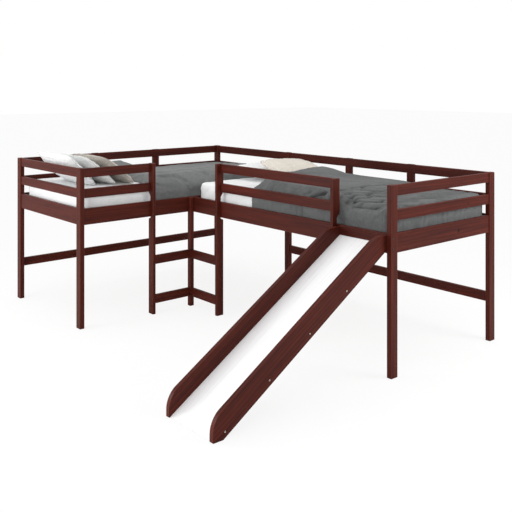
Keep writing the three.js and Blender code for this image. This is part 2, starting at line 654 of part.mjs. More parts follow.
// A duvet over a mattress, along from its foot and across from its first side: a top with rounded
// shoulders, and a drop tucked down both sides and the foot. The head edge lies open.
function duvetGeometry({ loft, headEdge, rise }) {
  const builder = surfaceBuilder();
  const top = mattressTop + softGap;
  const shoulder = [0, 0.12, 0.45, 1];
  const middleSteps = { along: 10, across: 7 };
  const stations = (steps) => {
    const list = shoulder.map((share) => ({ first: share, last: 0, share: 0 }));
    for (let i = 1; i < steps; i++) list.push({ first: 1, last: 1, share: i / steps });
    return [...list, ...shoulder.map((share) => ({ first: 1, last: share, share: 1 })).reverse()];
  };
  const alongStations = stations(middleSteps.along);
  const acrossStations = stations(middleSteps.across);
  // Distance of a station from the start, when the whole has a size and both shoulders a radius
  const place = ({ first, last, share }, size, radius) => {
    if (share === 0) return first * radius;
    if (share === 1) return size - last * radius;
    return radius + share * (size - 2 * radius);
  };
  // Pulls a point near the foot's corners on to a rounded corner
  const rounded = (x, y, radius, width) => {
    const side = y < width / 2 ? 0 : width;
    const [a, b] = [radius - x, radius - Math.abs(y - side)];
    if (a <= 0 || b <= 0) return [x, y];
    const scale = Math.max(a, b) / Math.hypot(a, b);
    return [radius - a * scale, side + Math.sign(width / 2 - y) * (radius - b * scale)];
  };
  // One skin of the duvet: the inner one lies on the mattress, the outer one is puffed up.
  const skin = (footOff, sideOff, cornerRadius, puffed) => {
    const width = mattressWidth + 2 * sideOff;
    const columns = acrossStations.map((across) => place(across, width, duvetEdgeRadius));
    return alongStations.map((along) =>
      columns.map((y, j) => {
        const onMattress = y - sideOff;
        const head = headEdge(THREE.MathUtils.clamp(onMattress, 0, mattressWidth));
        const x = place(along, head + footOff, duvetEdgeRadius);
        const toHead = head + footOff - x;
        let z = top;
        if (puffed) {
          const full = Math.max(duvetHeadThickness, loft + rise(x - footOff, onMattress));
          const fall = Math.sin((Math.min(1, toHead / duvetHeadFall) * Math.PI) / 2);
          const thickness = duvetHeadThickness + (full - duvetHeadThickness) * fall;
          const drop = Math.min(duvetEdgeRadius, 0.75 * thickness);
          const side = 1 - Math.min(y, width - y) / duvetEdgeRadius;
          const foot = 1 - x / duvetEdgeRadius;
          const edge = Math.min(1, Math.hypot(Math.max(0, side), Math.max(0, foot)));
          z = top + thickness - drop * (1 - Math.sqrt(1 - edge * edge));
        }
        const [px, py] = rounded(x, y, cornerRadius, width);
        return [px - footOff, py - sideOff, z];
      }),
    );
  };
  const outer = skin(duvetFootDrop, duvetSideDrop, mattressCornerRadius + duvetSideDrop, true);
  const inner = skin(softGap, softGap, duvetInnerCornerRadius, false);
  const ids = (rows) => rows.map((row) => row.map((at) => builder.point(...at)));
  const [outerIds, innerIds] = [ids(outer), ids(inner)];
  const [rows, columns] = [alongStations.length, acrossStations.length];
  for (let i = 1; i < rows; i++)
    for (let j = 1; j < columns; j++) {
      builder.quad(outerIds[i - 1][j - 1], outerIds[i][j - 1], outerIds[i][j], outerIds[i - 1][j]);
      builder.quad(innerIds[i - 1][j - 1], innerIds[i - 1][j], innerIds[i][j], innerIds[i][j - 1]);
    }

  // The drop hangs from the rim: up one side from the head edge to the foot, and back on the other side.
  const rim = [];
  for (let i = rows - 1; i > 0; i--) rim.push([i, 0]);
  for (let j = 0; j < columns - 1; j++) rim.push([0, j]);
  for (let i = 0; i < rows; i++) rim.push([i, columns - 1]);
  const hang = (grid, gridIds, shares) =>
    rim.map(([i, j]) => {
      const [x, y, z] = grid[i][j];
      return [gridIds[i][j], ...shares.map((share) => builder.point(x, y, z + (duvetHem - z) * share))];
    });
  const outerDrop = hang(outer, outerIds, [0.35, 0.7, 1]);
  const innerDrop = hang(inner, innerIds, [1]);
  const [outerHem, innerHem] = [outerDrop, innerDrop].map((drop) => drop.map((line) => line.at(-1)));
  for (let k = 1; k < rim.length; k++) {
    const [before, after] = [outerDrop[k - 1], outerDrop[k]];
    for (let level = 1; level < outerDrop[0].length; level++)
      builder.quad(before[level], before[level - 1], after[level - 1], after[level]);
    builder.quad(innerDrop[k - 1][0], innerDrop[k - 1][1], innerDrop[k][1], innerDrop[k][0]);
    builder.quad(outerHem[k - 1], outerHem[k], innerHem[k], innerHem[k - 1]);
  }
  // The open head edge closes between the skins: down the first side's drop, over the top, down the other.
  const outerEdge = [...outerDrop[0]].reverse().concat(outerIds[rows - 1].slice(1, -1), outerDrop.at(-1));
  const innerEdge = [...innerDrop[0]].reverse().concat(innerIds[rows - 1].slice(1, -1), innerDrop.at(-1));
  builder.strip(outerEdge, innerEdge);
  return builder.geometry();
}

// A pillow about its own middle: drawn-in sides, thin at the seam and full in the middle
function pillowGeometry({ width, depth, thickness }) {
  const builder = surfaceBuilder();
  const steps = { across: 12, along: 10 };
  const power = pillowSquareness;
  const share = (i, count) => Math.sin(((i / count - 0.5) * Math.PI) * 0.9) / Math.sin(0.45 * Math.PI);
  const grid = (side) => {
    const rows = [];
    for (let j = 0; j <= steps.along; j++) {
      const v = share(j, steps.along);
      const row = [];
      for (let i = 0; i <= steps.across; i++) {
        const u = share(i, steps.across);
        const spread = (Math.abs(u) ** power + Math.abs(v) ** power) ** (1 / power);
        const round = spread === 0 ? 1 : Math.max(Math.abs(u), Math.abs(v)) / spread;
        const x = u * round * (width / 2 - pillowPull * (1 - v * v));
        const y = v * round * (depth / 2 - pillowPull * (1 - u * u));
        const z = (side * thickness * ((1 - u * u) * (1 - v * v)) ** pillowFullness) / 2;
        row.push(builder.point(x, y, z));
      }
      rows.push(row);
    }
    return rows;
  };
  const [front, back] = [grid(1), grid(-1)];
  for (let j = 1; j <= steps.along; j++)
    for (let i = 1; i <= steps.across; i++) {
      builder.quad(front[j - 1][i - 1], front[j - 1][i], front[j][i], front[j][i - 1]);
      builder.quad(back[j - 1][i - 1], back[j][i - 1], back[j][i], back[j - 1][i]);
    }
  return builder.geometry();
}

// Lays a pillow with its middle at a place, its top edge towards a heading, tilted up and rolled to one
// side, and lets it down until it rests at a height.
function addPillow(group, name, finish, shape, [x, y], heading, rest) {
  const { tilt, turn = 0, roll = 0 } = shape;
  const towards = heading + turn;
  const [run, rise] = [Math.cos(tilt), Math.sin(tilt)];
  const up = new THREE.Vector3(Math.cos(towards) * run, Math.sin(towards) * run, rise);
  const across = new THREE.Vector3(Math.sin(towards), -Math.cos(towards), 0);
  const basis = new THREE.Matrix4().makeBasis(across, up, across.clone().cross(up));
  const piece = addPiece(group, name, finish, pillowGeometry(shape));
  piece.quaternion.setFromRotationMatrix(basis);
  piece.rotateY(roll);
  const box = new THREE.Box3().setFromBufferAttribute(
    piece.geometry.clone().applyQuaternion(piece.quaternion).getAttribute("position"),
  );
  piece.position.set(x, y, rest - box.min.z);
  return piece;
}

const bump = (distance, spread) => Math.exp(-((distance / spread) ** 2));

// Bedding on the corner bed: its foot is at the inner end, and three pillows lean in a row at the outer end
function addCornerBedBedding(group) {
  const head = mattressFoot;
  const front = cornerRailInner + sideRoom;
  addPiece(
    group, "corner_bed_mattress", "whiteCotton", mattressGeometry(),
    [head + mattressLength / 2, front + mattressWidth / 2, mattressBottom],
  );
  const { loft, bareHead, roll, hump, backFall } = cornerDuvet;
  const duvet = addPiece(
    group, "corner_bed_duvet", "greyCotton",
    duvetGeometry({
      loft,
      headEdge: (across) => mattressLength - THREE.MathUtils.lerp(...bareHead, 1 - across / mattressWidth),
      rise: (along, across) => {
        const fromFront = mattressWidth - across;
        const alongHump = bump(mattressLength - along - hump.fromHead, hump.lengthSpread);
        const acrossHump = bump(fromFront - hump.fromFront, hump.widthSpread);
        return (
          roll.height * bump(fromFront - roll.middle, roll.spread) +
          hump.height * alongHump * acrossHump -
          (backFall * fromFront) / mattressWidth
        );
      },
    }),
    [head + mattressLength, front + mattressWidth, 0],
  );
  duvet.rotation.z = Math.PI;
  const rest = mattressTop + softGap;
  const row = [["white", whiteLeaning], ["pale", paleLeaning], ["beige", beigeLeaning]];
  for (const [colour, { headDistance, sideDistance, tilt }] of row) {
    const middle = headDistance - (leaningPillow.depth / 2) * Math.cos(tilt);
    addPillow(
      group, `corner_bed_${colour}_pillow`, `${colour}Cotton`, { ...leaningPillow, tilt },
      [head + middle, front + sideDistance], Math.PI, rest,
    );
  }
}

// Bedding on the slide bed: its foot is at the outer end, and two plump pillows lie at the corner bed
function addSlideBedBedding(group) {
  const foot = mattressFoot;
  const side = slideRailInner + sideRoom;
  const mattress = addPiece(
    group, "slide_bed_mattress", "whiteCotton", mattressGeometry(),
    [side + mattressWidth / 2, foot + mattressLength / 2, mattressBottom],
  );
  mattress.rotation.z = Math.PI / 2;
  const { loft, bareHead, tongue, hump, footFall, backFall } = slideDuvet;
  // Across runs from the back side here, so the slide's side is at the mattress's full width.
  const fromSlide = (across) => mattressWidth - across;
  const duvet = addPiece(
    group, "slide_bed_duvet", "greyCotton",
    duvetGeometry({
      loft,
      headEdge: (across) =>
        mattressLength -
        THREE.MathUtils.lerp(...bareHead, fromSlide(across) / mattressWidth) +
        tongue.reach * bump(fromSlide(across) - tongue.middle, tongue.spread),
      rise: (along, across) => {
        const toHead = mattressLength - along;
        const alongHump = bump(toHead - hump.fromHead, hump.lengthSpread);
        const fromHump = fromSlide(across) - hump.fromSlide;
        const acrossHump = bump(fromHump, fromHump > 0 ? hump.backSpread : hump.slideSpread);
        return (
          hump.height * alongHump * acrossHump -
          footFall * (1 - THREE.MathUtils.smoothstep(along, 0, mattressWidth * 0.7)) -
          (backFall * fromSlide(across)) / mattressWidth
        );
      },
    }),
    [side + mattressWidth, foot, 0],
  );
  duvet.rotation.z = Math.PI / 2;
  const rest = mattressTop + softGap;
  for (const [colour, shape] of [["white", whitePillow], ["cream", creamPillow]]) {
    const middle = side + mattressWidth - shape.sideDistance - shape.width / 2;
    addPillow(
      group, `slide_bed_${colour}_pillow`, `${colour}Cotton`, shape,
      [middle, foot + mattressLength - shape.headDistance], Math.PI / 2, rest,
    );
  }
}

const loftBed = new THREE.Group();
loftBed.name = "loft_bed";
addCornerBedFrame(loftBed);
addSlideBedFrame(loftBed);
addGuards(loftBed, addLadder(loftBed));
addSlide(loftBed);
addSlats(loftBed);
addCornerBedBedding(loftBed);
addSlideBedBedding(loftBed);
// The origin is on the floor under the middle of the whole: halfway along X from the slide's nose to the
// inner end, and halfway along Y from the slide bed's foot to the back.
loftBed.position.set(-(slideNose + cornerBedLength) / 2, -cornerBackFace / 2, 0);

export default loftBed;
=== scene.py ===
import math

import bpy
import numpy as np
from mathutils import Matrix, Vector, noise


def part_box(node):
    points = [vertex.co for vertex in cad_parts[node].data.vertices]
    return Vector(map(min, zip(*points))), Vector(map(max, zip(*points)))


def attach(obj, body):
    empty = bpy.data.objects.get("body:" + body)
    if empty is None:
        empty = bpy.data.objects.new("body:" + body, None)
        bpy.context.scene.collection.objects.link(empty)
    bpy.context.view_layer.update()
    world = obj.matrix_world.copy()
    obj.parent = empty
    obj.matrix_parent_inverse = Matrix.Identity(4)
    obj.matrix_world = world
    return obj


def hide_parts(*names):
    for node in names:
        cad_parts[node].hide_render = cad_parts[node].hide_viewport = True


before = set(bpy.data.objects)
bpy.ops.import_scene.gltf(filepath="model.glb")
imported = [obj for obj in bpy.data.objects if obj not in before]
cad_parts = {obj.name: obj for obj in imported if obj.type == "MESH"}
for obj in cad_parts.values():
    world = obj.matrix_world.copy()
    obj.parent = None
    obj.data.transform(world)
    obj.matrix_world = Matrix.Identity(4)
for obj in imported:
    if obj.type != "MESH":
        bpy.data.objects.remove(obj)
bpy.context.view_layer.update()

scene = bpy.context.scene


# Posts
# The real posts are squared pine, planed and eased along their edges, then dipped in a dark red-brown
# stain and lacquered satin. Grain runs up each post, and each is cut from another place in the log.
def colour(hexcode):
    """sRGB hex to linear."""
    channels = [int(hexcode[i : i + 2], 16) / 255 for i in (1, 3, 5)]
    return [c / 12.92 if c <= 0.04045 else ((c + 0.055) / 1.055) ** 2.4 for c in channels] + [1.0]


def finish_named(name):
    material = bpy.data.materials.new(name)
    material.use_nodes = True
    material.node_tree.nodes.clear()
    return material


def add(material, kind, inputs=(), **settings):
    """Adds a node with its settings. An input is a number, a colour or another node's output."""
    node = material.node_tree.nodes.new(kind)
    for name, value in settings.items():
        setattr(node, name, value)
    for socket, value in dict(inputs).items():
        if isinstance(value, bpy.types.NodeSocket):
            material.node_tree.links.new(value, node.inputs[socket])
        else:
            node.inputs[socket].default_value = value
    return node


def stained_pine(name, turn, knots=()):
    """Pine under a penetrating stain: the soft wood between the rings drinks more stain, so rings and
    streaks show darker and lighter; knots stay nearly black; the eased edges are lighter, partly the
    stain worn thin and partly a painted highlight.
    turn brings the grain to X."""
    pine = finish_named(name)
    place = add(pine, "ShaderNodeTexCoord").outputs["Object"]
    grain = add(pine, "ShaderNodeVectorRotate", {0: place, "Rotation": turn}, rotation_type="EULER_XYZ")
    board = add(pine, "ShaderNodeObjectInfo").outputs["Random"]
    cut = add(pine, "ShaderNodeVectorMath", {0: (9.0, 0.31, 0.23), "Scale": board}, operation="SCALE")
    log = add(
        pine, "ShaderNodeVectorMath", {0: grain.outputs[0], 1: cut.outputs[0]}, operation="ADD"
    ).outputs[0]

    # Growth rings round the log's axis, 11 mm apart so that they show, drawn out along the grain
    ringed = add(pine, "ShaderNodeVectorMath", {0: log, 1: (0.10, 1, 1)}, operation="MULTIPLY").outputs[0]
    rings = add(
        pine, "ShaderNodeTexWave",
        {"Vector": ringed, "Scale": 0.314 / 0.011, "Distortion": 5.0, "Detail": 2.0, "Detail Scale": 0.7},
        wave_type="RINGS", rings_direction="X",
    ).outputs["Fac"]
    # Streaks of uptake, about 25 mm wide and half a metre long, and pores 3 mm wide
    streaked = add(pine, "ShaderNodeVectorMath", {0: log, 1: (2.0, 40, 40)}, operation="MULTIPLY")
    streaks = add(
        pine, "ShaderNodeTexNoise", {"Vector": streaked.outputs[0], "Scale": 1.0, "Detail": 3.0}
    ).outputs["Fac"]
    porous = add(pine, "ShaderNodeVectorMath", {0: log, 1: (9.0, 330, 330)}, operation="MULTIPLY")
    pores = add(
        pine, "ShaderNodeTexNoise", {"Vector": porous.outputs[0], "Scale": 1.0, "Detail": 4.0}
    ).outputs["Fac"]
    # Knots up to 14 mm across, about one to every 400 mm of log, and few of them meet the face
    spots = add(pine, "ShaderNodeTexVoronoi", {"Vector": log, "Scale": 2.5}).outputs["Distance"]
    knot = add(pine, "ShaderNodeMapRange", {0: spots, 1: 0.010, 2: 0.022, 3: 1.0, 4: 0.0}).outputs[0]
    for centre, radius in knots:
        away = add(
            pine, "ShaderNodeVectorMath", {0: place, 1: centre}, operation="DISTANCE"
        ).outputs["Value"]
        near = add(
            pine, "ShaderNodeMapRange", {0: away, 1: radius * 0.6, 2: radius * 1.3, 3: 1.0, 4: 0.0}
        ).outputs[0]
        knot = add(pine, "ShaderNodeMath", {0: knot, 1: near}, operation="MAXIMUM").outputs[0]

    tone = add(pine, "ShaderNodeMapRange", {0: streaks, 1: 0.30, 2: 0.70}).outputs[0]
    base = add(
        pine, "ShaderNodeMix", {0: tone, 6: colour("#441b15"), 7: colour("#5a241a")}, data_type="RGBA"
    ).outputs[2]
    late = add(pine, "ShaderNodeMapRange", {0: rings, 1: 0.45, 2: 0.95, 3: 0.0, 4: 0.40}).outputs[0]
    base = add(pine, "ShaderNodeMix", {0: late, 6: base, 7: colour("#30120f")}, data_type="RGBA").outputs[2]
    fleck = add(pine, "ShaderNodeMapRange", {0: pores, 1: 0.52, 2: 0.75, 3: 0.0, 4: 0.4}).outputs[0]
    base = add(pine, "ShaderNodeMix", {0: fleck, 6: base, 7: colour("#260d0b")}, data_type="RGBA").outputs[2]
    base = add(pine, "ShaderNodeMix", {0: knot, 6: base, 7: colour("#1c0b0a")}, data_type="RGBA").outputs[2]

    # An eased edge is where the face turns away from the board's own directions. There the colour is
    # lightened, partly as stain worn thin and partly as a painted highlight.
    facing = add(pine, "ShaderNodeNewGeometry").outputs["Normal"]
    facing = add(pine, "ShaderNodeVectorRotate", {0: facing, "Rotation": turn}, rotation_type="EULER_XYZ")
    facing = add(pine, "ShaderNodeVectorMath", {0: facing.outputs[0]}, operation="ABSOLUTE").outputs[0]
    parts = add(pine, "ShaderNodeSeparateXYZ", {0: facing}).outputs
    most = add(pine, "ShaderNodeMath", {0: parts[0], 1: parts[1]}, operation="MAXIMUM").outputs[0]
    most = add(pine, "ShaderNodeMath", {0: most, 1: parts[2]}, operation="MAXIMUM").outputs[0]
    edge_wear_and_highlight = add(pine, "ShaderNodeMapRange", {0: most, 1: 0.99, 2: 0.80, 3: 0.0, 4: 0.5}).outputs[0]
    base = add(pine, "ShaderNodeMix", {0: edge_wear_and_highlight, 6: base, 7: colour("#743a2c")}, data_type="RGBA").outputs[2]

    relief = add(pine, "ShaderNodeMath", {0: rings, 1: pores}, operation="ADD").outputs[0]
    raised = add(pine, "ShaderNodeBump", {"Strength": 0.35, "Distance": 0.0003, "Height": relief}).outputs[0]
    gloss = add(pine, "ShaderNodeMapRange", {0: pores, 1: 0.3, 2: 0.7, 3: 0.34, 4: 0.46}).outputs[0]
    surface = add(
        pine, "ShaderNodeBsdfPrincipled",
        {"Base Color": base, "Roughness": gloss, "IOR": 1.5, "Specular IOR Level": 0.11, "Normal": raised},
    )
    add(pine, "ShaderNodeOutputMaterial", {"Surface": surface.outputs[0]})
    return pine


def dress(node, material):
    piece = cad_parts[node]
    piece.data.materials.clear()
    piece.data.materials.append(material)
    return piece


def ease(piece, radius, segments=3):
    """Rounds a board's edges, as a router does before staining."""
    weld = piece.modifiers.new("joined faces", "WELD")
    weld.merge_threshold = 1e-5
    bevel = piece.modifiers.new("eased edges", "BEVEL")
    bevel.width = radius
    bevel.segments = segments
    bevel.limit_method = "ANGLE"
    bevel.angle_limit = math.radians(40)
    bevel.harden_normals = False
    even = piece.modifiers.new("even shading", "WEIGHTED_NORMAL")
    even.keep_sharp = False
    for face in piece.data.polygons:
        face.use_smooth = True


POST_EASING = 0.004
pine_upright = stained_pine("stained_pine_grain_up", (0, math.pi / 2, 0))
posts = [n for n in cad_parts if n.endswith("_post") or "_upright_" in n]
for post in posts:
    ease(dress(post, pine_upright), POST_EASING if post.endswith("_post") else 0.0025)


# Rails, rungs and cleats
# The real ones are pine boards of the same stain. They butt against the posts and are bolted there,
# and the end rails are dowelled. The knot in the slide bed's end is a large one, stained nearly black.
RAIL_EASING = 0.003
end_knot = ((0.762, -1.516, 0.776), 0.011)
small_knot = ((0.871, -1.516, 0.936), 0.006)
pine_along_x = stained_pine("stained_pine_grain_x", (0, 0, 0), knots=[end_knot, small_knot])
pine_along_y = stained_pine("stained_pine_grain_y", (0, 0, math.pi / 2))
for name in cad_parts:
    if not name.endswith(("_rail", "_stretcher", "_rung", "_cleat")):
        continue
    low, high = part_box(name)
    lies_along_x = high.x - low.x > high.y - low.y
    ease(dress(name, pine_along_x if lies_along_x else pine_along_y), RAIL_EASING)


# Slide
# Two stained side boards with a routed round-over, and between them a white melamine board let into
# grooves, on a pine underframe. The melamine is smooth, near white and faintly polished down its middle.
SLIDE_ANGLE = math.radians(31.6)
pine_down_slide = stained_pine("stained_pine_grain_down_slide", (0, SLIDE_ANGLE, 0))
for side in ("slide_right_side", "slide_left_side"):
    ease(dress(side, pine_down_slide), 0.005)
ease(dress("slide_underframe", pine_down_slide), 0.0015)

laminate = finish_named("white_melamine_laminate")
place = add(laminate, "ShaderNodeTexCoord").outputs["Object"]
down = add(
    laminate, "ShaderNodeVectorRotate", {0: place, "Rotation": (0, SLIDE_ANGLE, 0)},
    rotation_type="EULER_XYZ",
)
# Polish from use in long marks down the slope, 10 mm wide, and the paper's mottle under the resin
worn = add(laminate, "ShaderNodeVectorMath", {0: down.outputs[0], 1: (3, 100, 100)}, operation="MULTIPLY")
marks = add(
    laminate, "ShaderNodeTexNoise", {"Vector": worn.outputs[0], "Scale": 1.0, "Detail": 3.0}
).outputs["Fac"]
mottle = add(laminate, "ShaderNodeTexNoise", {"Vector": place, "Scale": 60.0, "Detail": 2.0}).outputs["Fac"]
white = add(
    laminate, "ShaderNodeMix", {0: mottle, 6: colour("#f2f2f3"), 7: colour("#f6f6f6")}, data_type="RGBA"
).outputs[2]
polish = add(laminate, "ShaderNodeMapRange", {0: marks, 1: 0.3, 2: 0.7, 3: 0.24, 4: 0.36}).outputs[0]
skin = add(laminate, "ShaderNodeBump", {"Strength": 0.15, "Distance": 0.0002, "Height": mottle}).outputs[0]
surface = add(
    laminate, "ShaderNodeBsdfPrincipled",
    {"Base Color": white, "Roughness": polish, "IOR": 1.5, "Normal": skin},
)
add(laminate, "ShaderNodeOutputMaterial", {"Surface": surface.outputs[0]})
ease(dress("slide_board", laminate), 0.0015)


# Bolts and screws
# Each long rail is drawn to its posts by bolts with sunk hexagon heads, bronzed to match the stain, and
# the ladder's and guard's boards are screwed to the bed rails. The slide's screws are zinc plated.
def plated_steel(name, dark, light, grain, dullest):
    """Plated steel. Its coat is brighter and duller in patches, grain to the metre."""
    metal = finish_named(name)
    place = add(metal, "ShaderNodeTexCoord").outputs["Object"]
    patches = add(
        metal, "ShaderNodeTexNoise", {"Vector": place, "Scale": grain, "Detail": 2.0}
    ).outputs["Fac"]
    coat = add(
        metal, "ShaderNodeMix", {0: patches, 6: colour(dark), 7: colour(light)}, data_type="RGBA"
    ).outputs[2]
    dull = add(metal, "ShaderNodeMapRange", {0: patches, 3: 0.3, 4: dullest}).outputs[0]
    surface = add(
        metal, "ShaderNodeBsdfPrincipled", {"Base Color": coat, "Metallic": 1.0, "Roughness": dull}
    )
    add(metal, "ShaderNodeOutputMaterial", {"Surface": surface.outputs[0]})
    return metal


# The bronze wears brighter in patches of about 2 mm, and the zinc blooms in patches of about 1 mm
bronze = plated_steel("bronzed_steel", "#2e2420", "#5c4a3e", 500.0, 0.5)
zinc = plated_steel("zinc_plated_steel", "#9a9793", "#c6c3be", 900.0, 0.45)
BOLT_RADIUS, BOLT_STANDS = 0.0065, 0.0012
SCREW_RADIUS, SCREW_STANDS = 0.0050, 0.0010


def heads(name, places, radius, stand, metal):
    """One mesh of domed heads with hexagon sockets. Each place is a point and the way that it faces."""
    steps = 24
    widest_socket = 0.55
    # Rings from the rim inwards: the share of the radius, and the share of the height
    rim = [(1.0, 0.0), (1.0, 0.45), (0.86, 0.85), (0.62, 1.0), (0.50, 1.0), (0.46, 0.1), (0.0, 0.1)]
    points, faces = [], []
    for at, facing in places:
        turn = Vector(facing).to_track_quat("Z", "Y").to_matrix()
        start = len(points)
        for share, height in rim:
            for k in range(steps):
                angle = 2 * math.pi * k / steps
                # The socket's rings are hexagons
                flat = math.cos(math.pi / 6) / math.cos(angle % (math.pi / 3) - math.pi / 6)
                reach = radius * share * (flat if share < widest_socket else 1)
                off = Vector((reach * math.cos(angle), reach * math.sin(angle), height * stand))
                points.append(Vector(at) + turn @ off)
        for ring in range(len(rim) - 1):
            for k in range(steps):
                a, b = start + ring * steps + k, start + ring * steps + (k + 1) % steps
                faces.append((a, b, b + steps, a + steps))
    mesh = bpy.data.meshes.new(name)
    mesh.from_pydata(points, [], faces)
    mesh.materials.append(metal)
    for face in mesh.polygons:
        face.use_smooth = True
    piece = bpy.data.objects.new(name, mesh)
    scene.collection.objects.link(piece)
    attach(piece, "frame")


def middle(node):
    low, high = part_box(node)
    return (low + high) / 2


BACK_RAILS = ["back_bed_rail", "back_middle_rail", "back_top_rail", "back_stretcher"]
PAIR_RISES = (-0.03, 0.03)


def bolt_heights(rail, at):
    """A bed rail has a pair of bolts, one over the other, and any other rail has one."""
    return [at.z + rise for rise in (PAIR_RISES if rail.endswith("bed_rail") else (0,))]


bolts = []
# On the corner bed's posts the long rails' bolts enter along X
for post, side in [
    ("corner_bed_outer_front_post", -1), ("corner_bed_outer_back_post", -1),
    ("shared_corner_post", 1), ("corner_bed_inner_back_post", 1),
]:
    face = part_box(post)[0 if side < 0 else 1].x
    rails = BACK_RAILS if post.endswith("back_post") else ["front_bed_rail"]
    if post == "corner_bed_outer_front_post":
        rails = rails + ["guard_middle_rail", "guard_top_rail"]
    for rail in rails:
        at = middle("corner_bed_" + rail)
        bolts += [((face, at.y, height), (side, 0, 0)) for height in bolt_heights(rail, at)]
# On the slide bed's posts they enter along Y
for post in ("slide_bed_front_post", "slide_bed_back_post"):
    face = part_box(post)[0].y
    for rail in BACK_RAILS if post.endswith("back_post") else ["front_bed_rail"]:
        at = middle("slide_bed_" + rail)
        bolts += [((at.x, face, height), (0, -1, 0)) for height in bolt_heights(rail, at)]
heads("post_bolts", bolts, BOLT_RADIUS, BOLT_STANDS, bronze)

screws = []
# Through the ladder's and guard's boards into the bed rails
for post in ("ladder_corner_bed_post", "ladder_slide_bed_post", "slide_guard_post"):
    low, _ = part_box(post)
    at = middle(post)
    for height in (0.748, 0.808):
        if post == "ladder_corner_bed_post":
            screws.append(((at.x, low.y, height), (0, -1, 0)))
        else:
            screws.append(((low.x, at.y, height), (-1, 0, 0)))
heads("frame_screws", screws, SCREW_RADIUS, SCREW_STANDS, bronze)

# Bright plated screws go through each side board into the runners, evenly down the slope
LOWEST_SCREW = (-1.089, 0.037)
SCREW_SPACING = 0.333
screws = []
for side, facing in [("slide_right_side", -1), ("slide_left_side", 1)]:
    low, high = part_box(side)
    face = low.y if facing < 0 else high.y
    for number in range(4):
        x = LOWEST_SCREW[0] + SCREW_SPACING * number * math.cos(SLIDE_ANGLE)
        z = LOWEST_SCREW[1] + SCREW_SPACING * number * math.sin(SLIDE_ANGLE)
        screws.append(((x, face, z), (0, facing, 0)))
heads("slide_screws", screws, SCREW_RADIUS, SCREW_STANDS, zinc)


# Slats
# The real deck, hidden under the mattresses, is a roll of bare planed pine slats on webbing. Bare pine is
# pale straw with orange-brown latewood lines.
def bare_pine(name, turn):
    pine = finish_named(name)
    place = add(pine, "ShaderNodeTexCoord").outputs["Object"]
    grain = add(
        pine, "ShaderNodeVectorRotate", {0: place, "Rotation": turn}, rotation_type="EULER_XYZ"
    ).outputs[0]
    drawn = add(pine, "ShaderNodeVectorMath", {0: grain, 1: (0.08, 1, 1)}, operation="MULTIPLY").outputs[0]
    # Growth rings 6 mm apart
    rings = add(
        pine, "ShaderNodeTexWave",
        {"Vector": drawn, "Scale": 0.314 / 0.006, "Distortion": 6.0, "Detail": 2.0, "Detail Scale": 0.6},
        wave_type="RINGS", rings_direction="X",
    ).outputs["Fac"]
    spots = add(pine, "ShaderNodeTexVoronoi", {"Vector": grain, "Scale": 6.0}).outputs["Distance"]
    knot = add(pine, "ShaderNodeMapRange", {0: spots, 1: 0.03, 2: 0.08, 3: 0.8, 4: 0.0}).outputs[0]
    base = add(
        pine, "ShaderNodeMix", {0: rings, 6: colour("#d3b482"), 7: colour("#b98f5b")}, data_type="RGBA"
    ).outputs[2]
    base = add(pine, "ShaderNodeMix", {0: knot, 6: base, 7: colour("#6d4527")}, data_type="RGBA").outputs[2]
    sawn = add(pine, "ShaderNodeBump", {"Strength": 0.4, "Distance": 0.0003, "Height": rings}).outputs[0]
    surface = add(
        pine, "ShaderNodeBsdfPrincipled", {"Base Color": base, "Roughness": 0.62, "IOR": 1.5, "Normal": sawn}
    )
    add(pine, "ShaderNodeOutputMaterial", {"Surface": surface.outputs[0]})
    return pine


ease(dress("corner_bed_slats", bare_pine("planed_pine_grain_y", (0, 0, math.pi / 2))), 0.001, 2)
ease(dress("slide_bed_slats", bare_pine("planed_pine_grain_x", (0, 0, 0))), 0.001, 2)


